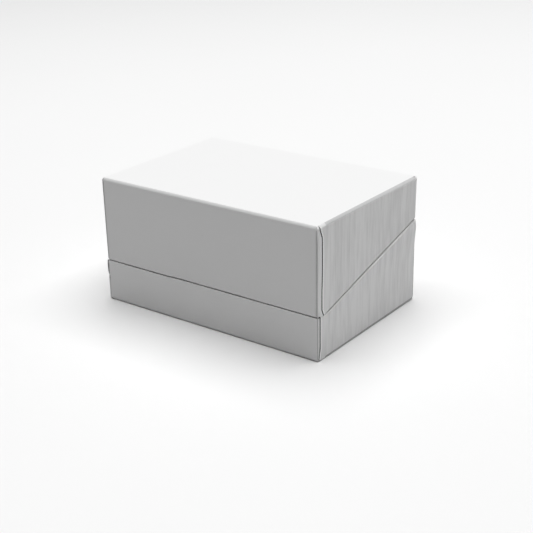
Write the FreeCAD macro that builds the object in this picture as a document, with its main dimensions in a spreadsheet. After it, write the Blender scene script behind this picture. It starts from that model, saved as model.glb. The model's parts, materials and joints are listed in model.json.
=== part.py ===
import FreeCAD, Part
import os
import Sketcher

# A rigid gift box for jewelry: greyboard walls wrapped in paper, with a flip-top lid.
# The joint between lid and base is level at the front and slants up along the sides to the hinge.
# Frame: origin at the centre of the underside, +X to the right, -Y is the front, +Z up, millimetres.

SIZES = {
    # whole box
    "base_width": 90.2,
    "lid_width": 89.6,
    "box_depth": 60.0,
    "box_height": 45.5,
    # joint between lid and base
    "seam_front": 15.0,
    "seam_back": 30.3,
    "slant_start": 3.9,
    "seam_gap": 0.3,
    # board and paper
    "board_thick": 2.0,
    "front_facing": 0.9,
    "paper_thick": 0.2,
    "corner_gap": 0.4,
    "fold_radius": 0.9,
    "turn_in": 9.0,
    "sheet_inset": 1.5,
    # collar inside the base
    "neck_width": 84.2,
    "neck_board": 1.5,
    "neck_rise": 7.0,
    "neck_front_clear": 0.3,
    "neck_back_clear": 0.4,
    # hinge
    "crease_gap": 0.1,
    "strip_reach": 11.0,
    # magnets
    "magnet_radius": 2.5,
    "magnet_thick": 1.0,
    "magnet_spread": 25.0,
    "magnet_height": 18.6,
    # insert
    "insert_width": 79.6,
    "insert_depth": 52.2,
    "insert_height": 16.3,
    "insert_lift": 0.1,
    "insert_forward": 1.1,
    "cover_thick": 0.6,
    "slot_length": 26.0,
    "slot_width": 4.8,
    "slot_deep": 12.0,
    "hole_radius": 0.9,
    "hole_spread": 10.0,
    "hole_back": 14.0,
    "hole_deep": 10.0,
    "ribbon_width": 12.0,
    "ribbon_length": 15.0,
    "ribbon_thick": 0.6,
    "ribbon_forward": 15.0,
    # pad in the lid
    "pad_width": 83.2,
    "pad_depth": 54.0,
    "pad_card": 0.8,
    "pad_foam": 2.8,
    "satin_thick": 0.2,
    "pad_radius": 1.2,
}

doc = FreeCAD.newDocument("jewelry_gift_box")


def make_sheet():
    """The spreadsheet of driving dimensions: a name, a value with that alias."""
    sheet = doc.addObject("Spreadsheet::Sheet", "Sizes")
    for row, (alias, value) in enumerate(SIZES.items(), start=1):
        sheet.set(f"A{row}", alias.replace("_", " "))
        sheet.set(f"B{row}", str(value))
        sheet.setAlias(f"B{row}", alias)
    return sheet


class Length:
    """A length as a number, and as the expression that works it out from the sheet."""

    def __init__(self, number, text):
        self.number = number
        self.text = text

    def __add__(self, other):
        other = length(other)
        return Length(self.number + other.number, f"({self.text} + {other.text})")

    def __sub__(self, other):
        other = length(other)
        return Length(self.number - other.number, f"({self.text} - {other.text})")

    def __mul__(self, other):
        other = length(other)
        return Length(self.number * other.number, f"({self.text} * {other.text})")

    def __truediv__(self, other):
        other = length(other)
        return Length(self.number / other.number, f"({self.text} / {other.text})")

    def __neg__(self):
        return Length(-self.number, f"(0 - {self.text})")


def length(value):
    """A plain number as a Length; a Length as it is."""
    return value if isinstance(value, Length) else Length(float(value), f"{float(value):g}")


def size(alias):
    """A driving dimension from the sheet."""
    return Length(SIZES[alias], f"Sizes.{alias}")


make_sheet()
doc.recompute()

PAPER = size("paper_thick")
BOARD = size("board_thick")
WALL = PAPER + BOARD
LINED_WALL = WALL + PAPER
HALF_BASE = size("base_width") / 2
HALF_LID = size("lid_width") / 2
HALF_NECK = size("neck_width") / 2
FRONT = -(size("box_depth") / 2)
BACK = size("box_depth") / 2
TOP = size("box_height")
SLANT = FRONT + size("slant_start")
FLOOR = PAPER * 2 + BOARD
LINED_FLOOR = FLOOR + PAPER
HALF_GAP = size("seam_gap") / 2
EASE = size("fold_radius") - PAPER
BEYOND = 5.0

NECK_FRONT = FRONT + LINED_WALL + size("neck_front_clear")
NECK_BACK = BACK - LINED_WALL - size("neck_back_clear")
NECK_WALL = size("neck_board") + PAPER
INSERT_BASE = LINED_FLOOR + size("insert_lift")
INSERT_TOP = INSERT_BASE + size("insert_height")


def seam_at(place, above=0.0):
    """Height of the joint between lid and base at a place along Y, plus an offset."""
    rise = (size("seam_back") - size("seam_front")) / (size("box_depth") - size("slant_start"))
    return size("seam_front") + (place - SLANT) * rise + above


def seam_line(front, back, above):
    """Corners along the joint, front to back: level first, then the slant, raised by an offset."""
    level = size("seam_front") + above
    return [(front, level), (SLANT, level), (back, seam_at(back, above))]


def bind(thing, prop, value):
    thing.setExpression(prop, length(value).text)


def new_body(label):
    body = doc.addObject("PartDesign::Body", label)
    body.Label = label
    return body


def sketch_on(body, name, plane, height=None):
    """An empty sketch on one of the body's own origin planes, or at a height above it."""
    sketch = body.newObject("Sketcher::SketchObject", f"{body.Name}_{name}")
    origin_plane = next(f for f in body.Origin.OriginFeatures if f.Role == plane)
    sketch.AttachmentSupport = [(origin_plane, "")]
    sketch.MapMode = "FlatFace"
    if height is not None:
        bind(sketch, "AttachmentOffset.Base.z", height)
    return sketch


def outline(body, name, plane, corners, height=None):
    """A closed outline in a new sketch, through its corners."""
    sketch = sketch_on(body, name, plane, height)
    add_polygon(sketch, corners)
    return sketch


def add_polygon(sketch, corners):
    """Lines through the corners, each corner held to the sketch's origin by two expressions."""
    first = sketch.GeometryCount
    count = len(corners)
    points = [FreeCAD.Vector(u.number, v.number, 0) for u, v in corners]
    for i in range(count):
        sketch.addGeometry(Part.LineSegment(points[i], points[(i + 1) % count]), False)
    for i in range(count):
        joined = Sketcher.Constraint("Coincident", first + i, 2, first + (i + 1) % count, 1)
        sketch.addConstraint(joined)
    for i, (u, v) in enumerate(corners):
        for kind, value in (("DistanceX", u), ("DistanceY", v)):
            held = Sketcher.Constraint(kind, -1, 1, first + i, 1, value.number)
            index = sketch.addConstraint(held)
            bind(sketch, f"Constraints[{index}]", value)


def add_circle(sketch, across, along, radius):
    """A circle with its centre and radius held by expressions."""
    centre = FreeCAD.Vector(across.number, along.number, 0)
    shape = Part.Circle(centre, FreeCAD.Vector(0, 0, 1), radius.number)
    circle = sketch.addGeometry(shape, False)
    for kind, value in (("DistanceX", across), ("DistanceY", along)):
        held = Sketcher.Constraint(kind, -1, 1, circle, 3, value.number)
        bind(sketch, f"Constraints[{sketch.addConstraint(held)}]", value)
    sized = Sketcher.Constraint("Radius", circle, radius.number)
    bind(sketch, f"Constraints[{sketch.addConstraint(sized)}]", radius)


def rectangle(left, right, near, far):
    """Four corners of an upright rectangle in a sketch."""
    return [(left, near), (right, near), (right, far), (left, far)]


def pad(body, name, sketch, deep, both_ways=False):
    feature = body.newObject("PartDesign::Pad", f"{body.Name}_{name}")
    feature.Profile = sketch
    feature.SideType = "Symmetric" if both_ways else "One side"
    bind(feature, "Length", deep)
    doc.recompute()
    return feature


def pocket(body, name, sketch, deep, reverse=False, both_ways=False):
    """A pocket; the body has to lose volume, or it pointed away from the solid."""
    before = body.Shape.Volume
    feature = body.newObject("PartDesign::Pocket", f"{body.Name}_{name}")
    feature.Profile = sketch
    feature.SideType = "Symmetric" if both_ways else "One side"
    feature.Reversed = reverse
    bind(feature, "Length", deep)
    doc.recompute()
    if not body.Shape.Volume < before - 1e-3:
        raise RuntimeError(f"{feature.Name} cuts nothing")
    return feature


def fillet(body, name, radius, chosen):
    """Rounds the edges of the body's last feature that the test chooses."""
    base = body.Tip
    edges = [f"Edge{i}" for i, edge in enumerate(base.Shape.Edges, start=1) if chosen(edge)]
    if not edges:
        raise RuntimeError(f"{body.Name} {name} finds no edges")
    feature = body.newObject("PartDesign::Fillet", f"{body.Name}_{name}")
    feature.Base = (base, edges)
    bind(feature, "Radius", radius)
    doc.recompute()
    return feature


def lies_on(edge, axis, place, slack=0.02):
    """Whether every end of an edge is at a place along an axis."""
    return all(abs(getattr(v.Point, axis) - place) < slack for v in edge.Vertexes)


def is_upright(edge):
    box = edge.BoundBox
    return box.ZLength > 0.1 and box.XLength < 0.01 and box.YLength < 0.01


def is_at(edge, x, y, slack=0.02):
    """Whether an upright edge stands at a place, on either side of the middle."""
    middle = edge.BoundBox.Center
    return is_upright(edge) and abs(abs(middle.x) - x) < slack and abs(middle.y - y) < slack


def panel(label, wide, deep, tall, at):
    """A rectangular board: a rectangle padded upwards and put in its place."""
    body = new_body(label)
    half_wide = wide / 2
    half_deep = deep / 2
    plan = outline(body, "plan", "XY_Plane", rectangle(-half_wide, half_wide, -half_deep, half_deep))
    pad(body, "height", plan, tall)
    for axis, value in zip("xyz", at):
        bind(body, f"Placement.Base.{axis}", value)
    return body


def profile(label, corners, wide, left):
    """A board cut to an outline seen from the side, with its left face at a place along X."""
    body = new_body(label)
    side = outline(body, "side", "YZ_Plane", corners)
    pad(body, "thickness", side, wide)
    bind(body, "Placement.Base.x", left)
    return body


def wrap(label, envelope, hollow, flaps, half, half_hollow, half_flaps, plan, hollow_floor, reach):
    """Paper round boards: an outer skin, the room for the boards, and flaps turned inside them.

    envelope, hollow and flaps are side outlines; plan is the opening inside the flaps.
    """
    body = new_body(label)
    pad(body, "skin", outline(body, "envelope", "YZ_Plane", envelope), half * 2, both_ways=True)
    room = outline(body, "hollow", "YZ_Plane", hollow)
    pocket(body, "board_room", room, half_hollow * 2, both_ways=True)
    turned = outline(body, "flaps", "YZ_Plane", flaps)
    pad(body, "turned_flaps", turned, half_flaps * 2, both_ways=True)
    opening = outline(body, "opening", "XY_Plane", plan, height=hollow_floor)
    pocket(body, "inside", opening, reach, reverse=True)
    return body


def round_wrap(body, half, level):
    """Rounds the folds of a wrap: inside by the board's radius, outside by the paper more."""
    inner_half = (half - PAPER).number
    inner_front = (FRONT + PAPER).number
    inner_level = (level - PAPER).number if level is TOP else (level + PAPER).number
    outer_half = half.number
    fold_edges(body, "inner_folds", EASE, inner_half, inner_front, inner_level)
    fold_edges(body, "outer_folds", size("fold_radius"), outer_half, FRONT.number, level.number)


def fold_edges(body, name, radius, half, front, level):
    """Fillets the front and side folds at one level, and the upright folds at the front."""

    def is_fold(edge):
        if is_at(edge, half, front):
            return True
        if not lies_on(edge, "z", level):
            return False
        across = lies_on(edge, "y", front) and edge.BoundBox.XLength > half
        along = abs(abs(edge.BoundBox.Center.x) - half) < 0.02 and edge.BoundBox.XLength < 0.01
        return across or (along and edge.BoundBox.YLength > half / 2)

    fillet(body, name, radius, is_fold)


def ease_corners(body, radius, half_wide, half_deep, level=None):
    """Rounds a board's upright front corners and, at one level, its front and side edges."""

    def is_eased(edge):
        if is_at(edge, half_wide.number, -half_deep.number):
            return True
        if level is None or not lies_on(edge, "z", level.number):
            return False
        return not lies_on(edge, "y", half_deep.number)

    fillet(body, "eased_edges", radius, is_eased)


# ---- base ----------------------------------------------------------------------------------------


def base_boards():
    """Floor, two-layer front, back and the two slanted sides of the base."""
    facing = size("front_facing")
    backing = BOARD - facing
    wide = size("base_width") - PAPER * 2
    deep = size("box_depth") - PAPER * 2
    under = -HALF_GAP - PAPER
    bottom = panel("base_bottom_board", wide, deep, BOARD, (length(0), length(0), PAPER * 2))
    ease_corners(bottom, EASE, wide / 2, deep / 2, length(0))
    front_tall = size("seam_front") + under - FLOOR
    front_at = (length(0), FRONT + PAPER + facing / 2, FLOOR)
    front = panel("base_front_board", wide, facing, front_tall, front_at)
    ease_corners(front, EASE, wide / 2, facing / 2)
    backing_at = (length(0), FRONT + WALL - backing / 2, FLOOR)
    panel("base_front_backing", size("base_width") - WALL * 2, backing, front_tall, backing_at)
    y_inner = BACK - WALL
    y_outer = BACK - PAPER
    back = [(y_inner, FLOOR), (y_outer, FLOOR)]
    back += [(y_outer, seam_at(y_outer, under)), (y_inner, seam_at(y_inner, under))]
    profile("base_back_board", back, wide, -wide / 2)
    y_front = FRONT + PAPER + facing + size("corner_gap")
    side = [(y_inner, FLOOR), (y_front, FLOOR)] + seam_line(y_front, y_inner, under)
    profile("base_left_board", side, BOARD, -HALF_BASE + PAPER)
    profile("base_right_board", side, BOARD, HALF_BASE - WALL)


def base_papers():
    """The base's outer wrap, the sheet under it and the lining inside."""
    y_back = BACK - PAPER
    y_inner = BACK - WALL
    top = -HALF_GAP
    envelope = [(y_back, PAPER), (FRONT, PAPER)] + seam_line(FRONT, y_back, top)
    hollow = [(BACK + BEYOND, PAPER * 2), (FRONT + PAPER, PAPER * 2)]
    hollow += seam_line(FRONT + PAPER, BACK + BEYOND, top - PAPER)
    y_flap = FRONT + WALL
    low = top - size("turn_in")
    flaps = seam_line(y_flap, y_inner, top) + seam_line(y_flap, y_inner, low)[::-1]
    half_flaps = HALF_BASE - WALL
    half_open = HALF_BASE - LINED_WALL
    plan = rectangle(-half_open, half_open, FRONT + LINED_WALL, BACK + BEYOND)
    body = wrap(
        "base_wrap", envelope, hollow, flaps, HALF_BASE, HALF_BASE - PAPER, half_flaps, plan, FLOOR, TOP
    )
    half_hole = HALF_BASE - size("turn_in")
    hole = rectangle(-half_hole, half_hole, FRONT + size("turn_in"), BACK + BEYOND)
    pocket(body, "turned_under", outline(body, "hole", "XY_Plane", hole), FLOOR, reverse=True)
    round_wrap(body, HALF_BASE, PAPER)
    inset = size("sheet_inset") * 2
    wide = size("base_width") - inset
    deep = size("box_depth") - inset
    panel("bottom_sheet", wide, deep, PAPER, (length(0), length(0), length(0)))
    base_liner()


def base_liner():
    """Lining paper on the floor, folded up the back wall as far as the hinge strip."""
    front = FRONT + WALL
    back = BACK - WALL
    rise = size("seam_back") - size("strip_reach")
    corners = [(front, FLOOR), (back, FLOOR), (back, rise), (back - PAPER, rise)]
    corners += [(back - PAPER, LINED_FLOOR), (front, LINED_FLOOR)]
    wide = size("base_width") - WALL * 2
    profile("base_liner", corners, wide, -wide / 2)


def neck():
    """The collar: a front board and two slanted side boards, with paper over them."""
    board = size("neck_board")
    high = size("neck_rise")
    wide = size("neck_width") - PAPER * 2
    front_tall = size("seam_front") + high - PAPER - LINED_FLOOR
    front_y = NECK_FRONT + PAPER + board / 2
    front = panel("neck_front_board", wide, board, front_tall, (length(0), front_y, LINED_FLOOR))
    y_front = NECK_FRONT + PAPER + board
    side = [(NECK_BACK, LINED_FLOOR), (y_front, LINED_FLOOR)]
    side += seam_line(y_front, NECK_BACK, high - PAPER)
    profile("neck_left_board", side, board, -HALF_NECK + PAPER)
    profile("neck_right_board", side, board, HALF_NECK - PAPER - board)
    magnet_holes(front, -board / 2, LINED_FLOOR, facing_front=True)
    envelope = [(NECK_BACK, LINED_FLOOR), (NECK_FRONT, LINED_FLOOR)]
    envelope += seam_line(NECK_FRONT, NECK_BACK, high)
    hollow = [(NECK_BACK + BEYOND, FLOOR), (NECK_FRONT + PAPER, FLOOR)]
    hollow += seam_line(NECK_FRONT + PAPER, NECK_BACK + BEYOND, high - PAPER)
    y_flap = NECK_FRONT + NECK_WALL
    flaps = [(NECK_BACK, LINED_FLOOR), (y_flap, LINED_FLOOR)] + seam_line(y_flap, NECK_BACK, high)
    half_open = HALF_NECK - NECK_WALL - PAPER
    plan = rectangle(-half_open, half_open, NECK_FRONT + NECK_WALL + PAPER, BACK + BEYOND)
    half_flaps = HALF_NECK - NECK_WALL
    wrap(
        "neck_wrap", envelope, hollow, flaps, HALF_NECK, HALF_NECK - PAPER, half_flaps, plan, length(0), TOP
    )


# ---- lid -----------------------------------------------------------------------------------------


def lid_boards():
    """Top, front, back and the two slanted sides of the lid."""
    wide = size("lid_width") - PAPER * 2
    deep = size("box_depth") - PAPER * 2
    over = HALF_GAP + PAPER
    ceiling = TOP - WALL
    top = panel("lid_top_board", wide, deep, BOARD, (length(0), length(0), ceiling))
    ease_corners(top, EASE, wide / 2, deep / 2, BOARD)
    front_low = size("seam_front") + over
    front_at = (length(0), FRONT + PAPER + BOARD / 2, front_low)
    front = panel("lid_front_board", wide, BOARD, ceiling - front_low, front_at)
    ease_corners(front, EASE, wide / 2, BOARD / 2)
    magnet_holes(front, BOARD / 2, front_low, facing_front=False)
    y_inner = BACK - WALL
    y_outer = BACK - PAPER
    back = [(y_inner, seam_at(y_inner, over)), (y_outer, seam_at(y_outer, over))]
    back += [(y_outer, ceiling), (y_inner, ceiling)]
    profile("lid_back_board", back, wide, -wide / 2)
    y_front = FRONT + WALL + size("corner_gap")
    side = seam_line(y_front, y_inner, over) + [(y_inner, ceiling), (y_front, ceiling)]
    profile("lid_left_board", side, BOARD, -HALF_LID + PAPER)
    profile("lid_right_board", side, BOARD, HALF_LID - WALL)


def lid_papers():
    """The lid's outer wrap, turned over the lower edges and up the inside of the walls."""
    y_back = BACK - PAPER
    y_inner = BACK - WALL
    low = HALF_GAP
    ceiling = TOP - WALL
    envelope = seam_line(FRONT, y_back, low) + [(y_back, TOP), (FRONT, TOP)]
    hollow = seam_line(FRONT + PAPER, BACK + BEYOND, low + PAPER)
    hollow += [(BACK + BEYOND, TOP - PAPER), (FRONT + PAPER, TOP - PAPER)]
    y_flap = FRONT + WALL
    flaps = seam_line(y_flap, y_inner, low) + [(y_inner, ceiling), (y_flap, ceiling)]
    half_open = HALF_LID - LINED_WALL
    plan = rectangle(-half_open, half_open, FRONT + LINED_WALL, BACK + BEYOND)
    half_flaps = HALF_LID - WALL
    body = wrap(
        "lid_wrap", envelope, hollow, flaps, HALF_LID, HALF_LID - PAPER, half_flaps, plan, length(0), ceiling
    )
    round_wrap(body, HALF_LID, TOP)


def lid_pad():
    """Pad under the lid's top: satin round foam on a card."""
    satin = size("satin_thick")
    thick = size("pad_card") + size("pad_foam") + satin * 2
    low = TOP - WALL - thick
    wide = size("pad_width")
    deep = size("pad_depth")
    cover = panel("lid_pad_satin", wide, deep, thick, (length(0), length(0), low))
    half_wide = wide / 2 - satin
    half_deep = deep / 2 - satin
    room = rectangle(-half_wide, half_wide, -half_deep, half_deep)
    inside = outline(cover, "room", "XY_Plane", room, height=satin)
    pocket(cover, "filling_room", inside, thick - satin * 2, reverse=True)
    half_hole_wide = wide / 2 - size("turn_in")
    half_hole_deep = deep / 2 - size("turn_in")
    hole = rectangle(-half_hole_wide, half_hole_wide, -half_hole_deep, half_hole_deep)
    turned = outline(cover, "hole", "XY_Plane", hole, height=thick)
    pocket(cover, "turned_over", turned, satin)
    inner_low = satin.number
    fillet(cover, "inner_edge", size("pad_radius") - satin, lambda edge: lies_on(edge, "z", inner_low))
    fillet(cover, "outer_edge", size("pad_radius"), lambda edge: lies_on(edge, "z", 0.0))
    foam_at = (length(0), length(0), low + satin)
    card_at = (length(0), length(0), low + satin + size("pad_foam"))
    foam = panel("lid_pad_foam", wide - satin * 2, deep - satin * 2, size("pad_foam"), foam_at)
    radius = size("pad_radius") - satin
    fillet(foam, "soft_edge", radius, lambda edge: lies_on(edge, "z", 0.0))
    panel("lid_pad_card", wide - satin * 2, deep - satin * 2, size("pad_card"), card_at)


# ---- hinge and magnets ---------------------------------------------------------------------------


def hinge():
    """Paper over the whole back, creased at the joint, and the strip inside that backs it."""
    crease = size("seam_back")
    half_crease = size("crease_gap") / 2
    y_sheet = BACK - PAPER / 2
    lower_tall = crease - half_crease - PAPER
    upper_low = crease + half_crease
    lower_wide = size("base_width")
    upper_wide = size("lid_width")
    panel("hinge_sheet_lower", lower_wide, PAPER, lower_tall, (length(0), y_sheet, PAPER))
    panel("hinge_sheet_upper", upper_wide, PAPER, TOP - upper_low, (length(0), y_sheet, upper_low))
    y_strip = BACK - WALL - PAPER / 2
    y_board = BACK - WALL
    wide = size("lid_width") - LINED_WALL * 2
    reach = size("strip_reach")
    low_end = crease - reach
    low_top = seam_at(y_board, -HALF_GAP - PAPER)
    panel("hinge_strip_lower", wide, PAPER, low_top - low_end, (length(0), y_strip, low_end))
    high_start = seam_at(y_board, HALF_GAP + PAPER)
    high_end = crease + reach - size("pad_foam")
    panel("hinge_strip_upper", wide, PAPER, high_end - high_start, (length(0), y_strip, high_start))


def magnet_holes(body, face, low, facing_front):
    """Two round recesses in a front board, as deep as a magnet is thick."""
    sketch = sketch_on(body, "recesses", "XZ_Plane", -face)
    high = size("magnet_height") - low
    for across in (-size("magnet_spread"), size("magnet_spread")):
        add_circle(sketch, across, high, size("magnet_radius"))
    pocket(body, "magnet_recesses", sketch, size("magnet_thick"), reverse=not facing_front)


def magnet(label, across, near):
    """A disc magnet lying front to back, with its front face at a place along Y."""
    disc = doc.addObject("Part::Cylinder", label)
    disc.Label = label
    bind(disc, "Radius", size("magnet_radius"))
    bind(disc, "Height", size("magnet_thick"))
    disc.Placement.Rotation = FreeCAD.Rotation(FreeCAD.Vector(1, 0, 0), -90)
    bind(disc, "Placement.Base.x", across)
    bind(disc, "Placement.Base.y", near)
    bind(disc, "Placement.Base.z", size("magnet_height"))


def magnets():
    for side, across in (("left", -size("magnet_spread")), ("right", size("magnet_spread"))):
        magnet(f"lid_magnet_{side}", across, FRONT + WALL - size("magnet_thick"))
        magnet(f"base_magnet_{side}", across, NECK_FRONT + PAPER)


# ---- insert --------------------------------------------------------------------------------------


def slot_plan(around):
    """The ring slot's outline, with an allowance all round."""
    half_long = size("slot_length") / 2 + around
    half_wide = size("slot_width") / 2 + around
    return rectangle(-half_long, half_long, -half_wide, half_wide)


def earring_holes(body, top, deep):
    """Two small holes behind the ring slot, from a height downwards."""
    sketch = sketch_on(body, "holes", "XY_Plane", top)
    for across in (-size("hole_spread"), size("hole_spread")):
        add_circle(sketch, across, size("hole_back"), size("hole_radius"))
    pocket(body, "earring_holes", sketch, deep)


def insert():
    """Foam block with its velvet cover and ribbon tab."""
    skin = size("cover_thick")
    wide = size("insert_width")
    deep = size("insert_depth")
    tall = size("insert_height")
    foam_tall = tall - skin
    forward = size("insert_forward")
    place = (length(0), forward, INSERT_BASE)
    foam = panel("insert_foam", wide - skin * 2, deep - skin * 2, foam_tall, place)
    slot = outline(foam, "slot", "XY_Plane", slot_plan(skin), height=foam_tall)
    pocket(foam, "ring_slot", slot, size("slot_deep"))
    earring_holes(foam, foam_tall, size("hole_deep"))
    cover = panel("insert_cover", wide, deep, tall, place)
    mouth = outline(cover, "slot", "XY_Plane", slot_plan(length(0)), height=tall)
    pocket(cover, "ring_slot", mouth, size("slot_deep"))
    half_wide = wide / 2 - skin
    half_deep = deep / 2 - skin
    room = outline(cover, "room", "XY_Plane", rectangle(-half_wide, half_wide, -half_deep, half_deep))
    add_polygon(room, slot_plan(skin))
    pocket(cover, "foam_room", room, foam_tall, reverse=True)
    under_slot = outline(cover, "under_slot", "XY_Plane", slot_plan(skin))
    pocket(cover, "slot_foam_room", under_slot, foam_tall - size("slot_deep"), reverse=True)
    earring_holes(cover, tall, size("hole_deep"))
    tab_y = forward - size("ribbon_forward")
    tab_at = (length(0), tab_y, INSERT_TOP)
    panel("lift_ribbon", size("ribbon_width"), size("ribbon_length"), size("ribbon_thick"), tab_at)


# ---- checks and files ----------------------------------------------------------------------------


def check_and_write():
    """Stops on any failed object, then writes one file for each sub-part."""
    doc.recompute()
    for thing in doc.Objects:
        if "Invalid" in thing.State or "Error" in thing.State:
            raise RuntimeError(f"{thing.Name} is {thing.State}")
    pieces = [o for o in doc.Objects if o.TypeId in ("PartDesign::Body", "Part::Cylinder")]
    for piece in pieces:
        if piece.Shape.isNull() or not piece.Shape.isValid() or len(piece.Shape.Solids) != 1:
            raise RuntimeError(f"{piece.Label} has a bad shape")
    os.makedirs("parts", exist_ok=True)
    for piece in pieces:
        piece.Shape.exportStep(f"parts/{piece.Label}.step")
        print(f"{piece.Label}: {piece.Shape.Volume:.1f} mm3")
    print(len(pieces), "sub-parts")


base_boards()
base_papers()
neck()
lid_boards()
lid_papers()
lid_pad()
hinge()
magnets()
insert()
check_and_write()
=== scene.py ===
import itertools
import json
import math
from dataclasses import dataclass

import bmesh
import bpy
from mathutils import Matrix, Vector, noise


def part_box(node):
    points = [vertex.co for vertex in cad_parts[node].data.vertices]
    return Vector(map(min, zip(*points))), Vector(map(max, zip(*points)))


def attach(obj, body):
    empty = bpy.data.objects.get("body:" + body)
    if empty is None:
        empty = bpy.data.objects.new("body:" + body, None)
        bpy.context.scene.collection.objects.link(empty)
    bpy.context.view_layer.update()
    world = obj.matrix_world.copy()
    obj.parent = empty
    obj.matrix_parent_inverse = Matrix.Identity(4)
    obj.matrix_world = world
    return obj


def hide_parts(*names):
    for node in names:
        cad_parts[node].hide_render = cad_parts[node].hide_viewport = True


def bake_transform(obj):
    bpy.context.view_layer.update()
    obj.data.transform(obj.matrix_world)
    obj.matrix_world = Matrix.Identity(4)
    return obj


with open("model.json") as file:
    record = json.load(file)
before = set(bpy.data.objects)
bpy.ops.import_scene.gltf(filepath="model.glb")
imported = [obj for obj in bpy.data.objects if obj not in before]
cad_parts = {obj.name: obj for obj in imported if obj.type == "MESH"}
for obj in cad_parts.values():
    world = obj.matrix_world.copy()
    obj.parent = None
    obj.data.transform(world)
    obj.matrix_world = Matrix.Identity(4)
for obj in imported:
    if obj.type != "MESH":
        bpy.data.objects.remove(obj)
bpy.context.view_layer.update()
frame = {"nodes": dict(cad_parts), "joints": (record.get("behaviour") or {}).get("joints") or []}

MM = 0.001


def corners(node):
    """The low and high corner of a node's box."""
    return [Vector(corner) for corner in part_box(node)]


# ---- sizes read from the frame ----

BASE_LOW, BASE_HIGH = corners("base_wrap")
LID_LOW, LID_HIGH = corners("lid_wrap")
BOTTOM_LOW, BOTTOM_HIGH = corners("bottom_sheet")
PAPER = BOTTOM_HIGH.z - BOTTOM_LOW.z
FRONT = BASE_LOW.y
BACK = corners("hinge_sheet_lower")[1].y
TOP = LID_HIGH.z
HALF_BASE = BASE_HIGH.x
HALF_LID = LID_HIGH.x
HINGE = Vector(next(j["pos_m"] for j in frame["joints"] if j["name"] == "lid_hinge"))
SEAM_BACK = HINGE.z
BASE_EDGE = corners("base_front_board")[1].z + PAPER
SEAM_FRONT = (LID_LOW.z + BASE_EDGE) / 2
HALF_GAP = LID_LOW.z - SEAM_FRONT
WALL = BACK - corners("lid_back_board")[0].y
LINED_WALL = WALL + PAPER
CEILING = corners("lid_top_board")[0].z

# ---- sizes of the paper's own details ----

# Radius of the walls' upright corners, thickness of the paper, how far behind the front the slant
# starts, and how far the base's paper is turned in.
CORNER = 0.45 * MM
SKIN = 0.12 * MM
SLANT_BEHIND = 3.9 * MM
TURN_IN = 9.0 * MM
BACK_SKIN = BACK - SKIN


def seam_at(y):
    """Height of the joint between lid and base: level at the front, then a slant to the hinge."""
    start = FRONT + SLANT_BEHIND
    along = max(0.0, y - start) / (BACK - start)
    return SEAM_FRONT + along * (SEAM_BACK - SEAM_FRONT)


def smooth(value):
    value = min(1.0, max(0.0, value))
    return value * value * (3 - 2 * value)


def lerp(a, b, t):
    return a + (b - a) * t


def quarter(steps):
    """A quarter turn in steps: the sine and cosine of each angle after the first."""
    angles = [i / steps * math.pi / 2 for i in range(1, steps + 1)]
    return [(math.sin(angle), math.cos(angle)) for angle in angles]


def pairs(first, second):
    return list(zip(first, second))


def raised(flat, z):
    return Vector((flat.x, flat.y, z))


# ---- materials ----


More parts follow.
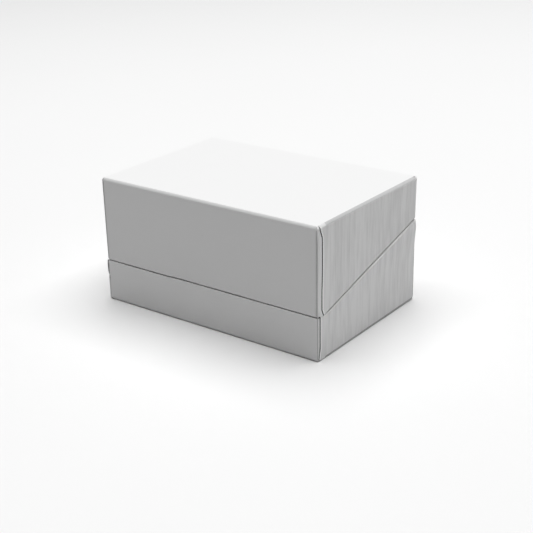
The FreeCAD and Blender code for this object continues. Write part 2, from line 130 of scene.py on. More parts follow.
class Shader:
    """A small helper that adds linked nodes to a new material."""

    def __init__(self, name, colour, roughness):
        self.material = bpy.data.materials.new(name)
        self.material.use_nodes = True
        self.tree = self.material.node_tree
        self.bsdf = self.tree.nodes["Principled BSDF"]
        self.colour = colour
        self.bsdf.inputs["Base Color"].default_value = (*colour, 1.0)
        self.bsdf.inputs["Roughness"].default_value = roughness
        source = self.tree.nodes.new("ShaderNodeTexCoord")
        self.coords = source.outputs["Object"]
        self.normal = source.outputs["Normal"]
        self.height = None

    def node(self, kind, **settings):
        made = self.tree.nodes.new(kind)
        for key, value in settings.items():
            setattr(made, key, value)
        return made

    def link(self, output, target):
        self.tree.links.new(output, target)

    def noise(self, scale, detail=3.0, rough=0.5):
        """Noise in the piece's own space, with one frequency for each axis, in waves per metre."""
        mapping = self.node("ShaderNodeMapping")
        mapping.inputs["Scale"].default_value = scale
        self.link(self.coords, mapping.inputs["Vector"])
        made = self.node("ShaderNodeTexNoise")
        made.inputs["Scale"].default_value = 1.0
        made.inputs["Detail"].default_value = detail
        made.inputs["Roughness"].default_value = rough
        self.link(mapping.outputs["Vector"], made.inputs["Vector"])
        return made.outputs["Fac"]

    def flecks(self, scale, radius):
        """1 inside sparse round specks, 0 elsewhere."""
        cells = self.node("ShaderNodeTexVoronoi")
        cells.inputs["Scale"].default_value = scale
        self.link(self.coords, cells.inputs["Vector"])
        return self.remap(cells.outputs["Distance"], 0.5 * radius * scale, radius * scale, 1.0, 0.0)

    def sideways(self):
        """1 where the surface faces along X in the piece's own space, 0 elsewhere."""
        parts = self.node("ShaderNodeSeparateXYZ")
        self.link(self.normal, parts.inputs["Vector"])
        return self.remap(self.math("ABSOLUTE", parts.outputs["X"], 0.0), 0.6, 0.95)

    def remap(self, value, low, high, to_low=0.0, to_high=1.0):
        made = self.node("ShaderNodeMapRange")
        ends = {"From Min": low, "From Max": high, "To Min": to_low, "To Max": to_high}
        for key, number in ends.items():
            made.inputs[key].default_value = number
        self.link(value, made.inputs["Value"])
        return made.outputs["Result"]

    def math(self, operation, first, second):
        made = self.node("ShaderNodeMath", operation=operation)
        for slot, value in zip(made.inputs, (first, second)):
            if isinstance(value, float):
                slot.default_value = value
            else:
                self.link(value, slot)
        return made.outputs["Value"]

    def tint(self, factor, dark, light):
        """Base colour between two shades by a factor."""
        made = self.node("ShaderNodeMix", data_type="RGBA")
        made.inputs["A"].default_value = (*dark, 1.0)
        made.inputs["B"].default_value = (*light, 1.0)
        self.link(factor, made.inputs["Factor"])
        self.link(made.outputs["Result"], self.bsdf.inputs["Base Color"])

    def bump(self, height, strength, distance):
        """Adds a layer of relief; layers stack."""
        made = self.node("ShaderNodeBump")
        made.inputs["Strength"].default_value = strength
        made.inputs["Distance"].default_value = distance
        self.link(height, made.inputs["Height"])
        if self.height is not None:
            self.link(self.height, made.inputs["Normal"])
        self.height = made.outputs["Normal"]
        self.link(self.height, self.bsdf.inputs["Normal"])


def shade(level):
    return (level, level, level)


# How much lighter the rolled side paper is painted than the rest, as painted light; how many specks there
# are and how big.
SIDE_PAINTED_LIGHT = 0.035
SPECKS_PER_METRE = 105.0
SPECK_RADIUS = 0.22 * MM


def wrap_paper(name, level, streak, relief):
    """White paper: rolling streaks, upright on the side walls and painted there only, as the shade of ribs
    in grazing light; the side walls painted lighter; and a soft fibre grain.
    """
    made = Shader(name, shade(level), 0.62)
    ribs = made.noise((14.0, 1150.0, 95.0), detail=4.0, rough=0.6)
    broad = made.noise((9.0, 420.0, 40.0), detail=2.0)
    sideways = made.sideways()
    grain = made.noise((2600.0, 2600.0, 2600.0), detail=2.0)
    cloud = made.noise((60.0, 60.0, 60.0), detail=2.0)
    mixed = made.math("MULTIPLY", made.math("ADD", ribs, broad), 0.5)
    lines = made.remap(mixed, 0.36, 0.64)
    soft = made.remap(cloud, 0.35, 0.65)
    blend = made.math("ADD", made.math("MULTIPLY", lines, 0.8), made.math("MULTIPLY", soft, 0.2))
    # Painted shade: rib streaks coloured on the side walls only.
    side_rib_shade = made.math("MULTIPLY", made.math("SUBTRACT", blend, 0.5), sideways)
    even = made.math("SUBTRACT", side_rib_shade, made.flecks(SPECKS_PER_METRE, SPECK_RADIUS))
    # Painted light: the side walls' paper is made lighter.
    side_lit = made.math("ADD", even, made.math("MULTIPLY", sideways, SIDE_PAINTED_LIGHT * 0.5 / streak))
    made.tint(made.math("ADD", side_lit, 0.5), shade(level - streak), shade(level + streak))
    made.bump(made.math("MULTIPLY", ribs, sideways), relief, 0.05 * MM)
    made.bump(grain, 0.12, 0.02 * MM)
    made.bsdf.inputs["Specular IOR Level"].default_value = 0.35
    return made.material


def plain_paper(name, level):
    """Smooth lining paper with a faint fibre grain."""
    made = Shader(name, shade(level), 0.7)
    fibre = made.noise((900.0, 2200.0, 2200.0), detail=3.0)
    made.tint(made.remap(fibre, 0.3, 0.7), shade(level - 0.02), shade(level + 0.015))
    made.bump(fibre, 0.15, 0.02 * MM)
    return made.material


def board_material(name, level):
    """Recycled greyboard: specks and long fibres."""
    made = Shader(name, shade(level), 0.9)
    fibre = made.noise((700.0, 1900.0, 1900.0), detail=5.0, rough=0.7)
    made.tint(made.remap(fibre, 0.3, 0.7), shade(level * 0.75), shade(level * 1.2))
    made.bump(fibre, 0.4, 0.05 * MM)
    return made.material


def foam_material():
    """Open-cell foam."""
    made = Shader("foam", (0.82, 0.81, 0.78), 0.95)
    cells = made.node("ShaderNodeTexVoronoi")
    cells.inputs["Scale"].default_value = 2200.0
    made.link(made.coords, cells.inputs["Vector"])
    pores = made.remap(cells.outputs["Distance"], 0.0, 0.6)
    made.tint(pores, (0.62, 0.61, 0.58), (0.88, 0.87, 0.84))
    made.bump(pores, 0.7, 0.15 * MM)
    return made.material


def velvet_material():
    """Short-pile flocked velvet: bright at grazing angles, brushed in broad soft patches."""
    made = Shader("velvet", shade(0.6), 0.95)
    pile = made.noise((2300.0, 2300.0, 2300.0), detail=4.0, rough=0.75)
    brushed = made.noise((55.0, 90.0, 55.0), detail=3.0, rough=0.6)
    factor = made.math("MULTIPLY", made.math("ADD", pile, brushed), 0.5)
    made.tint(made.remap(factor, 0.36, 0.64), (0.42, 0.42, 0.415), (0.66, 0.66, 0.65))
    made.bump(brushed, 0.25, 0.6 * MM)
    made.bump(pile, 0.6, 0.22 * MM)
    made.bsdf.inputs["Sheen Weight"].default_value = 0.5
    made.bsdf.inputs["Sheen Roughness"].default_value = 0.35
    made.bsdf.inputs["Specular IOR Level"].default_value = 0.1
    return made.material


def satin_material(name, weave):
    """Woven satin: fine threads one way and a soft, stretched gloss."""
    made = Shader(name, shade(0.66), 0.32)
    across, along = weave
    threads = made.noise((across, along, across), detail=2.0)
    slubs = made.noise((across * 0.2, along * 0.06, across * 0.2), detail=2.0)
    mixed = made.math("MULTIPLY", made.math("ADD", threads, slubs), 0.5)
    made.tint(made.remap(mixed, 0.36, 0.64), (0.60, 0.60, 0.595), (0.72, 0.72, 0.715))
    made.bump(threads, 0.2, 0.02 * MM)
    made.bump(slubs, 0.15, 0.05 * MM)
    made.bsdf.inputs["Anisotropic"].default_value = 0.5
    made.bsdf.inputs["Sheen Weight"].default_value = 0.2
    made.bsdf.inputs["Specular IOR Level"].default_value = 0.55
    return made.material


def nickel_material():
    """Nickel plate with light scratches."""
    made = Shader("nickel", shade(0.7), 0.3)
    scratch = made.noise((300.0, 300.0, 3000.0), detail=4.0)
    made.tint(made.remap(scratch, 0.3, 0.7), shade(0.6), shade(0.75))
    made.link(made.remap(scratch, 0.3, 0.7, 0.22, 0.4), made.bsdf.inputs["Roughness"])
    made.bsdf.inputs["Metallic"].default_value = 1.0
    return made.material


WRAP_LID = wrap_paper("wrap_paper_lid", 0.74, 0.07, 0.6)
# The base's copy of the same paper is a little lighter than the lid's: painted light.
WRAP_BASE_PAINTED_LIGHT = wrap_paper("base_paper_painted_lighter", 0.76, 0.07, 0.65)
# Painted highlight: the side paper's cut lip is whiter than the wrap, partly the cut edge's own whiteness.
CUT_EDGE_HIGHLIGHT = plain_paper("cut_edge_painted_highlight", 0.96)
# Painted shade: darker paper along the pressed corner lines and on the base's bottom fold, as crease and
# contact shadow.
CREASE_SHADE = plain_paper("painted_crease_shade_paper", 0.55)
# Painted shade: grey paper on the lid's side folds.
FOLD_SHADE = plain_paper("painted_fold_shade_paper", 0.585)
# Painted shade: near-black board deep in the corner gaps, darker than the greyboard, as the seams' shadow.
GAP_SHADE_BOARD = board_material("painted_gap_shade_board", 0.07)
OPEN_EDGE = board_material("board_at_the_open_corner", 0.42)
LINING = plain_paper("lining_paper", 0.78)
STRIP = plain_paper("hinge_strip_paper", 0.80)
GREYBOARD = board_material("greyboard", 0.36)
WHITE_CARD = board_material("white_card", 0.7)
FOAM = foam_material()
VELVET = velvet_material()
SATIN = satin_material("satin", (260.0, 3600.0))
RIBBON = satin_material("ribbon_satin", (420.0, 2600.0))
NICKEL = nickel_material()


# ---- mesh building ----


def new_piece(name, mesh, body, materials, replaces=()):
    piece = bpy.data.objects.new(name, mesh)
    bpy.context.scene.collection.objects.link(piece)
    for material in materials:
        mesh.materials.append(material)
    if replaces:
        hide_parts(*replaces)
    if body:
        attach(piece, body)
    return piece


def mesh_from(name, points, faces, indices=None, merge=0.002 * MM):
    """A smooth-shaded mesh; points closer than the merge distance become one."""
    mesh = bpy.data.meshes.new(name)
    mesh.from_pydata([tuple(p) for p in points], [], faces)
    if indices:
        for polygon, index in zip(mesh.polygons, indices):
            polygon.material_index = index
    work = bmesh.new()
    work.from_mesh(mesh)
    bmesh.ops.remove_doubles(work, verts=work.verts, dist=merge)
    bmesh.ops.dissolve_degenerate(work, edges=work.edges, dist=merge / 4)
    work.to_mesh(mesh)
    work.free()
    mesh.polygons.foreach_set("use_smooth", [True] * len(mesh.polygons))
    return mesh


def thicken(piece, thickness, offset=-1.0):
    solid = piece.modifiers.new("paper_thickness", "SOLIDIFY")
    solid.thickness = thickness
    solid.offset = offset
    even = piece.modifiers.new("even_shading", "WEIGHTED_NORMAL")
    even.keep_sharp = True


def grid_faces(rows, columns, closed=False, flip=False, start=0):
    """Quads over a grid of points stored row by row from a starting place."""
    faces = []
    last = columns if closed else columns - 1
    for r, c in itertools.product(range(rows - 1), range(last)):
        here, above = start + r * columns, start + (r + 1) * columns
        n = (c + 1) % columns
        quad = (here + c, here + n, above + n, above + c)
        faces.append(quad[::-1] if flip else quad)
    return faces


# ---- paper wraps ----

# The gap between a front flap's turned edge and the side paper: distance past the flap's edge, depth.
GROOVE = pairs(
    (-0.22, -0.08, 0.0, 0.03, 0.38, 0.41, 0.46, 0.70, 1.00, 1.90),
    (0.0, 0.02, 0.14, 1.0, 1.0, 0.04, -0.03, -0.07, -0.05, 0.0),
)
GAP_FIRST = 2
GAP_LAST = 4
LIP_LAST = 7

# Folds, from the flat face to the wall: inset from the wall and drop from the flat face.
# The lid's front fold is a narrow facet; its side folds are rounder and painted grey as fold shade.
LID_FRONT_FOLD = pairs(
    (0.82, 0.60, 0.52, 0.41, 0.29, 0.16, 0.07, 0.02, 0.0),
    (0.0, 0.02, 0.08, 0.18, 0.31, 0.50, 0.69, 0.86, 1.0),
)
LID_SIDE_FOLD = pairs(
    (0.82, 0.69, 0.56, 0.44, 0.31, 0.19, 0.10, 0.03, 0.0),
    (0.0, 0.03, 0.10, 0.21, 0.36, 0.52, 0.68, 0.84, 1.0),
)
BASE_FOLD = pairs(
    (0.60, 0.27, 0.21, 0.15, 0.10, 0.06, 0.03, 0.01, 0.0),
    (0.0, 0.01, 0.03, 0.06, 0.10, 0.15, 0.21, 0.27, 0.34),
)
# Along the back both wraps turn tightly round the boards.
LID_BACK_FOLD = pairs(
    (0.82, 0.14, 0.10, 0.07, 0.05, 0.03, 0.01, 0.0, 0.0),
    (0.0, 0.0, 0.01, 0.03, 0.05, 0.07, 0.10, 0.14, 0.20),
)
BASE_BACK_FOLD = [(0.60, 0.0)] + LID_BACK_FOLD[1:]
FOLD_STEPS = len(BASE_FOLD)
FRONT_STEPS = 18
EAR_STEPS = 12
SIDE_STEPS = 34
CORNER_STEPS = 6

# A pressed line at each front corner: distance before the corner's rounding, depth; then it fades.
PRESS = [(0.0, 0.30), (0.10, 0.28), (0.20, 0.20), (0.32, 0.07), (0.45, 0.01), (0.7, 0.0), (1.3, 0.0)]
PRESS_FADES = 0.38 * MM
# The crease shade is painted on the front from this press depth on, and on this share of the ear.
CREASE_SHADE_FROM_DEPTH = 0.19 * MM
CREASE_SHADE_EAR_END = 1.5 / EAR_STEPS

# What shows on a face of a wrap, as places in its list of materials: paper, painted gap shade, painted
# edge highlight, painted crease shade, open board, painted fold shade.
ON_PAPER, ON_GAP_SHADE, ON_EDGE_HIGHLIGHT, ON_CREASE_SHADE, ON_OPEN_BOARD, ON_FOLD_SHADE = range(6)

# Points closer than this, in metres, count as one when the flat face is laid out.
SAME_PLACE = 1e-8
# A point's height and its station depend on each other a little; this many rounds settle them.
SETTLING = 3


@dataclass
class Wrap:
    """Paper round a tray of boards: folds from a flat face, down four walls, over the edge, inside.

    The open side is the one whose corner stands open: -1 left, 0 neither. fold_shade_until is the last
    step of a side fold that has painted shade.
    """

    half: float
    fold_z: float
    down: int
    folds: tuple
    ear: callable
    gap_spread: callable
    swell: callable
    edge_line: callable
    edge_radius: callable
    inner_end: callable
    open_side: int = 0
    fold_shade_until: int = 7

    def __post_init__(self):
        self.front_fold, self.side_fold, self.back_fold = self.folds
        self.fold_inset = self.front_fold[0][0] * MM
        self.side_start = CORNER * math.pi / 2
        self.side_end = self.side_start + (BACK_SKIN - CORNER) - (FRONT + CORNER)
        self.rows = self.make_rows()
        self.columns = self.make_columns()

    def make_rows(self):
        """Stages of the paper's way from the flat face to its turned-in end."""
        rows = [("fold", i) for i in range(FOLD_STEPS)]
        rows += [("face", f) for f in (0.012, 0.03, 0.06, 0.1)]
        rows += [("face", 0.1 + 0.8 * i / 14) for i in range(1, 15)]
        rows += [("face", f) for f in (0.93, 0.96, 0.985, 1.0)]
        rows += [("edge", i / 4) for i in range(1, 5)]
        rows += [("under", i / 3) for i in range(1, 4)]
        rows += [("inner_edge", i / 3) for i in range(1, 4)]
        rows += [("inner", i / 5) for i in range(1, 6)]
        return rows

    def make_columns(self):
        """Stations from the middle of the front round to the middle of the back."""
        flat = self.half - CORNER
        spread = flat - PRESS[-1][0] * MM
        columns = [("front", (spread * i / FRONT_STEPS, 0.0)) for i in range(FRONT_STEPS)]
        columns += [("front", (flat - before * MM, deep * MM)) for before, deep in reversed(PRESS)]
        columns += [("ear", i / EAR_STEPS) for i in range(1, EAR_STEPS + 1)]
        columns += [("gap", i) for i in range(len(GROOVE))]
        columns += [("side", i / SIDE_STEPS) for i in range(1, SIDE_STEPS)]
        columns += [("back_corner", i / CORNER_STEPS) for i in range(CORNER_STEPS + 1)]
        columns += [("back", flat - before * MM) for before, deep in PRESS[1:]]
        columns += [("back", spread * i / FRONT_STEPS) for i in reversed(range(FRONT_STEPS))]
        return columns

    def path(self, d):
        """Place and outward normal at a distance round the wall from the front's end."""
        flat = self.half - CORNER
        if d < 0:
            return Vector((flat + d, FRONT)), Vector((0, -1))
        if d < self.side_start:
            angle = d / CORNER
            sine, cosine = math.sin(angle), math.cos(angle)
            place = Vector((flat + CORNER * sine, FRONT + CORNER - CORNER * cosine))
            return place, Vector((sine, -cosine))
        if d < self.side_end:
            return Vector((self.half, FRONT + CORNER + d - self.side_start)), Vector((1, 0))
        angle = (d - self.side_end) / CORNER
        sine, cosine = math.sin(angle), math.cos(angle)
        place = Vector((flat + CORNER * cosine, BACK_SKIN - CORNER + CORNER * sine))
        return place, Vector((cosine, sine))

    def ear_length(self, side, z):
        """Distance round the corner that the front flap's turned edge reaches at a height."""
        behind = self.ear(side, z)
        if behind < 0:
            return behind
        if behind < CORNER:
            return CORNER * math.acos(1 - behind / CORNER)
        return self.side_start + behind - CORNER

    def station(self, column, side, z):
        """Place, outward normal, depth below it, and 1 on the side's own paper."""
        kind, value = column
        if kind == "back":
            return Vector((value, BACK_SKIN)), Vector((0, 1)), 0.0, 0.0
        if kind == "back_corner":
            place, normal = self.path(self.side_end + value * CORNER * math.pi / 2)
            return place, normal, 0.0, 1.0 - value
        reach = self.ear_length(side, z)
        first = reach + GROOVE[0][0] * MM
        if kind == "front":
            across, deep = value
            end = self.half - CORNER + min(0.0, first)
            return Vector((min(across, end), FRONT)), Vector((0, -1)), deep, 0.0
        if kind == "ear":
            along = lerp(min(0.0, first), first, value)
            place, normal = self.path(along)
            return place, normal, PRESS[0][1] * MM * (1 - smooth(along / PRESS_FADES)), 0.0
        spread = self.gap_spread(side, z)
        if kind == "gap":
            past, deep = GROOVE[value]
            beyond = reach + past * MM + (spread if value >= GAP_LAST else 0.0)
            place, normal = self.path(beyond)
            return place, normal, deep * MM, 1.0 if value > GAP_LAST else 0.0
        start = reach + spread + GROOVE[-1][0] * MM
        place, normal = self.path(lerp(start, self.side_end, value))
        return place, normal, 0.0, 1.0

    def fold_step(self, step, normal):
        """Inset and drop of one step of the fold above a wall that faces along the normal."""
        ends = self.back_fold if normal.y > 0 else self.front_fold
        return [lerp(end, side, normal.x**2) * MM for end, side in zip(ends[step], self.side_fold[step])]

    def within(self, place, inset):
        """A place kept inside the walls' plan when that is drawn in by an inset."""
        x = min(place.x, self.half - inset)
        y = min(max(place.y, FRONT + inset), BACK_SKIN - inset)
        return Vector((x, y))

    def inner_place(self, place):
        """The nearest place on the inside of the walls."""
        x = min(place.x, self.half - LINED_WALL)
        y = min(max(place.y, FRONT + LINED_WALL), BACK - LINED_WALL)
        return Vector((x, y))

    def point(self, row, column, side):
        stage, t = row
        if stage == "fold":
            return self.fold_point(t, column, side)
        z = self.fold_z
        for _ in range(SETTLING):
            place, normal, deep, own = self.station(column, side, z)
            wall_start = self.fold_z + self.down * self.fold_step(-1, normal)[1]
            radius = self.edge_radius(place.y)
            edge = self.edge_line(side, place)
            wall_end = edge - self.down * radius
            z = lerp(wall_start, wall_end, t) if stage == "face" else wall_end
        outer = place + normal * (self.swell(side, place, z, own) - deep)
        if stage == "face":
            return Vector((outer.x * side, outer.y, z))
        angle = t * math.pi / 2
        if stage == "edge":
            flat = outer - normal * radius * (1 - math.cos(angle))
            return Vector((flat.x * side, flat.y, edge - self.down * radius * (1 - math.sin(angle))))
        tucked = outer - normal * radius
        inside = self.inner_place(place)
        away = tucked - inside
        before = inside + away.normalized() * radius
        if stage == "under":
            flat = tucked.lerp(before, t)
            return Vector((flat.x * side, flat.y, self.edge_line(side, flat)))
        edge = self.edge_line(side, inside)
        if stage == "inner_edge":
            flat = before.lerp(inside, math.sin(angle))
            return Vector((flat.x * side, flat.y, edge - self.down * radius * (1 - math.cos(angle))))
        z = lerp(edge - self.down * radius, self.inner_end(inside.y), t)
        return Vector((inside.x * side, inside.y, z))

    def fold_point(self, step, column, side):
        """A point on the fold; the gap and the unevenness fade out towards the flat face."""
        whole = self.fold_step(-1, self.station(column, side, self.fold_z)[1])[1]
        wall_start = self.fold_z + self.down * whole
        place, normal, deep, own = self.station(column, side, wall_start)
        inset, drop = self.fold_step(step, normal)
        z = self.fold_z + self.down * drop
        fade = smooth(drop / whole)
        flat = self.within(place - normal * (inset + deep * fade), inset)
        flat += normal * self.swell(side, place, z, own) * fade
        return Vector((flat.x * side, flat.y, z))

    def face_material(self, row, column, side):
        """Which paper or board shows on a face."""
        kind, value = self.columns[column]
        stage, step = self.rows[row]
        # Side fold rows: the base's get the crease-shade paper as painted contact shadow; the lid's get
        # the grey fold-shade paper as painted shade.
        if stage == "fold" and kind == "side" and 0 < step < self.fold_shade_until:
            return ON_CREASE_SHADE if self.down > 0 else ON_FOLD_SHADE
        # Painted crease shade along the pressed line at each front corner.
        if stage == "face" and kind == "front" and value[1] >= CREASE_SHADE_FROM_DEPTH:
            return ON_CREASE_SHADE
        if stage == "face" and kind == "ear" and value <= CREASE_SHADE_EAR_END:
            return ON_CREASE_SHADE
        if kind != "gap" or stage not in ("fold", "face", "edge"):
            return ON_PAPER
        if stage == "fold" and step < FOLD_STEPS / 2:
            return ON_PAPER
        # Deep in the gap: near-black board as painted shade, except at the open corner.
        if GAP_FIRST <= value <= GAP_LAST:
            return ON_OPEN_BOARD if side == self.open_side else ON_GAP_SHADE
        # The side paper's lip gets the cut edge's painted highlight.
        return ON_EDGE_HIGHLIGHT if value <= LIP_LAST else ON_PAPER

    def build(self, name, flat_margin=None):
        points, faces, indices = [], [], []
        rows, columns = len(self.rows), len(self.columns)
        for side in (1, -1):
            start = len(points)
            for row in self.rows:
                points += [self.point(row, column, side) for column in self.columns]
            flip = (side > 0) == (self.down < 0)
            faces += grid_faces(rows, columns, flip=flip, start=start)
            places = itertools.product(range(rows - 1), range(columns - 1))
            indices += [self.face_material(r, c, side) for r, c in places]
        self.add_flat(points, faces, indices, flat_margin)
        return mesh_from(name, points, faces, indices)

    def add_flat(self, points, faces, indices, margin):
        """The flat face inside the folds; with a margin, only a border of that width."""
        across, deep = set(), set()
        for side in (1, -1):
            for column in self.columns:
                p = self.point(self.rows[0], column, side)
                if abs(abs(p.x) - (self.half - self.fold_inset)) < SAME_PLACE:
                    deep.add(round(p.y, 9))
                if abs(p.y - (FRONT + self.fold_inset)) < SAME_PLACE:
                    across.add(round(p.x, 9))
        across, deep = sorted(across), sorted(deep)
        start = len(points)
        for y in deep:
            points += [Vector((x, y, self.fold_z)) for x in across]
        wide = len(across)
        for r, c in itertools.product(range(len(deep) - 1), range(wide - 1)):
            middle_x = abs(across[c] + across[c + 1]) / 2
            middle_y = (deep[r] + deep[r + 1]) / 2
            clear_x = margin is not None and middle_x < self.half - margin
            if clear_x and FRONT + margin < middle_y < BACK_SKIN - margin:
                continue
            a = start + r * wide + c
            quad = (a, a + 1, a + wide + 1, a + wide)
            faces.append(quad if self.down < 0 else quad[::-1])
            indices.append(ON_PAPER)


def tip_closed(y):
    """1 where the joint is shut tight, from just round the corner to the start of the slant."""
    behind = (y - FRONT) / MM
    return smooth((behind - 1.35) / 0.4) * smooth((5.0 - behind) / 1.2)


def lid_ear(side, z):
    """The lid's front flap: narrow at the top fold, wider below, wider again at the free edge."""
    from_top = (TOP - z) / MM
    behind = lerp(1.0, 2.35, smooth((from_top - 0.4) / 4.4)) - 0.24 * smooth((from_top - 14) / 9)
    behind += 0.85 * smooth(((SEAM_FRONT - z) / MM + 2.2) / 2.0)
    return behind * MM


def base_ear(side, z):
    """The base's front flap: narrow at the bottom fold; on the left it hardly turns the corner."""
    up = z / MM
    if side < 0:
        return lerp(0.36, -0.16, smooth((up - 5.0) / 7.0)) * MM
    return lerp(0.35, 0.98, smooth((up - 0.6) / 4.4)) * MM


def base_gap_spread(side, z):
    """The base's corners have opened a little, most where the left side paper stands off."""
    return (0.30 * smooth((z / MM - 4.0) / 7.0) if side < 0 else 0.14) * MM


def ripple(side, place, z, seed):
    return 0.025 * noise.noise(Vector((place.x * side * 60, place.y * 60, z * 60 + seed)))


def fold_ridge(from_fold):
    """The fold stands a little proud of the wall beside it."""
    return 0.07 * math.exp(-((from_fold / (0.65 * MM)) ** 2))


def lid_swell(side, place, z, own):
    """Small unevenness of the lid's walls, outwards."""
    down = (TOP - z) / (TOP - SEAM_FRONT)
    on_side = smooth((place.x - (HALF_LID - CORNER)) / CORNER)
    back = (place.y - FRONT) / (BACK - FRONT)
    lean = (0.12 + back * (0.22 - 0.36 * down) if side > 0 else 0.05 - 0.11 * down) * on_side
    fold_end = TOP - (1.0 - 0.6 * on_side) * MM
    ridge = (1 + 0.3 * on_side) * fold_ridge(fold_end - z)
    return (lean + ridge + ripple(side, place, z, 0)) * MM


def base_swell(side, place, z, own):
    """The base's side papers stand off a little towards their free edge, most at the left front."""
    below = seam_at(place.y) - z
    up = smooth((z - 4.0 * MM) / (8.0 * MM)) * lerp(0.35, 1.0, smooth(below / (1.6 * MM)))
    on_side = smooth((place.x - (HALF_BASE - CORNER)) / CORNER)
    along = (place.y - FRONT) / (BACK - FRONT)
    near_edge = smooth(1 - below / (11.0 * MM))
    if side < 0:
        lean = 0.0
        low = smooth((8.0 * MM - z) / (4.0 * MM)) * smooth(z / (1.2 * MM))
        flare = (0.30 * up + 0.34 * low) * smooth(1.25 - along * 2.2) + 0.15 * near_edge * along
    else:
        lean = -0.17 * on_side
        rear = smooth(along * 2.5 - 1.5)
        flare = 0.38 * near_edge * smooth(along * 1.6 - 0.25)
        flare += rear * (0.34 * smooth(1 - below / (16 * MM)) - 0.40 * smooth(1 - below / (2.6 * MM)))
    return (lean + flare * own + ripple(side, place, z, 9)) * MM


def joint_line(side, place):
    """Height of the joint; along the front it isn't quite straight."""
    x = place.x * side / MM
    at_front = 1 - smooth((place.y - FRONT) / MM / 4.0)
    return seam_at(place.y) + 0.22 * smooth((x + 17.5) / 5.0) * at_front * MM


def lid_edge(side, place):
    """The lid's lower edge; its tip sits down on the base."""
    return joint_line(side, place) + HALF_GAP * (1 - 0.8 * tip_closed(place.y))


def base_edge(side, place):
    """The base's upper edge; along the slant the paper has sunk a little."""
    sunk = 0.09 * smooth((place.y - FRONT) / MM / 3.0 - 1.6) * MM
    return joint_line(side, place) - HALF_GAP * (1 - 0.8 * tip_closed(place.y)) - sunk


def lid_edge_radius(y):
    return lerp(0.38, 0.10, tip_closed(y)) * MM


def base_edge_radius(y):
    """Sharp at the front and the tip, softer along the back half, where the paper lifts."""
    along = (y - FRONT) / (BACK - FRONT)
    return lerp(lerp(0.10, 0.22, smooth(along * 2 - 0.8)), 0.10, tip_closed(y)) * MM


def lid_wrap():
    wrap = Wrap(
        HALF_LID,
        TOP,
        -1,
        (LID_FRONT_FOLD, LID_SIDE_FOLD, LID_BACK_FOLD),
        lid_ear,
        lambda side, z: 0.0,
        lid_swell,
        lid_edge,
        lid_edge_radius,
        lambda y: CEILING - 0.05 * MM,
    )
    mesh = wrap.build("lid_wrap_paper")
    materials = [WRAP_LID, GAP_SHADE_BOARD, CUT_EDGE_HIGHLIGHT, CREASE_SHADE, OPEN_EDGE, FOLD_SHADE]
    thicken(new_piece("lid_wrap_paper", mesh, "lid", materials, ["lid_wrap"]), SKIN)


def lid_front_core():
    """The lid's front board, a little shorter, so that it stays behind the paper's uneven edge."""
    shorter = 0.35 * MM
    node = frame["nodes"]["lid_front_board"]
    mesh = node.data.copy()
    mesh.transform(node.matrix_world)
    mesh.materials.clear()
    lowest = min(vertex.co.z for vertex in mesh.vertices)
    for vertex in mesh.vertices:
        if vertex.co.z < lowest + 0.05 * MM:
            vertex.co.z += shorter
    new_piece("lid_front_core", mesh, "lid", [GREYBOARD], ["lid_front_board"])


def base_wrap():
    wrap = Wrap(
        HALF_BASE,
        BASE_LOW.z,
        1,
        (BASE_FOLD, BASE_FOLD, BASE_BACK_FOLD),
        base_ear,
        base_gap_spread,
        base_swell,
        base_edge,
        base_edge_radius,
        lambda y: seam_at(y) - TURN_IN,
        open_side=-1,
        fold_shade_until=FOLD_STEPS,
    )
    mesh = wrap.build("base_wrap_paper", flat_margin=TURN_IN)
    materials = [WRAP_BASE_PAINTED_LIGHT, GAP_SHADE_BOARD, CUT_EDGE_HIGHLIGHT, CREASE_SHADE, OPEN_EDGE]
    thicken(new_piece("base_wrap_paper", mesh, "base", materials, ["base_wrap"]), SKIN)


# How far the collar's outside paper goes on below the joint.
COLLAR_HIDDEN = 6 * MM


def neck_wrap():
    """Paper over the collar: up the outside, over the top edge and down the inside."""
    low, high = corners("neck_wrap")
    half = high.x
    rise = high.z - seam_at(high.y)
    wall = half - corners("neck_right_board")[0].x + PAPER
    radius = 0.34 * MM
    stations = neck_stations(half, low.y, high.y, radius)
    rows = neck_rows(wall, radius)
    points = []
    count = len(stations)
    for inset, drop, depth in rows:
        for place, normal in stations:
            outer = place - normal * min(inset, radius)
            clear = Vector((place.x, place.y))
            clear.x = max(-(half - wall), min(half - wall, clear.x))
            clear.y = max(low.y + wall, clear.y)
            part = 0.0 if inset <= radius else (inset - radius) / (wall - radius)
            flat = outer.lerp(clear, part)
            top = seam_at(flat.y) + rise
            bottom = low.z if part > 0.5 else seam_at(flat.y) - COLLAR_HIDDEN
            points.append(raised(flat, lerp(top - drop, bottom, depth)))
    faces = grid_faces(len(rows), count)
    for c in (0, count - 1):
        ring = [r * count + c for r in range(len(rows))]
        faces.append(tuple(ring if c == 0 else ring[::-1]))
    mesh = mesh_from("neck_wrap_paper", points, faces)
    thicken(new_piece("neck_wrap_paper", mesh, "base", [LINING], ["neck_wrap"]), SKIN)


def neck_rows(wall, radius):
    """Inset from the outside, drop below the top edge, and how far down the wall, for each row."""
    rows = [(0.0, radius, 1.0), (0.0, radius, 0.5), (0.0, radius, 0.03), (0.0, radius, 0.0)]
    rows += [(radius * (1 - cosine), radius * (1 - sine), 0.0) for sine, cosine in quarter(4)]
    rows.append((wall - radius, 0.0, 0.0))
    rows += [(wall - radius * (1 - sine), radius * (1 - cosine), 0.0) for sine, cosine in quarter(4)]
    rows += [(wall, radius, 0.03), (wall, radius, 0.4), (wall, radius, 1.0)]
    return rows


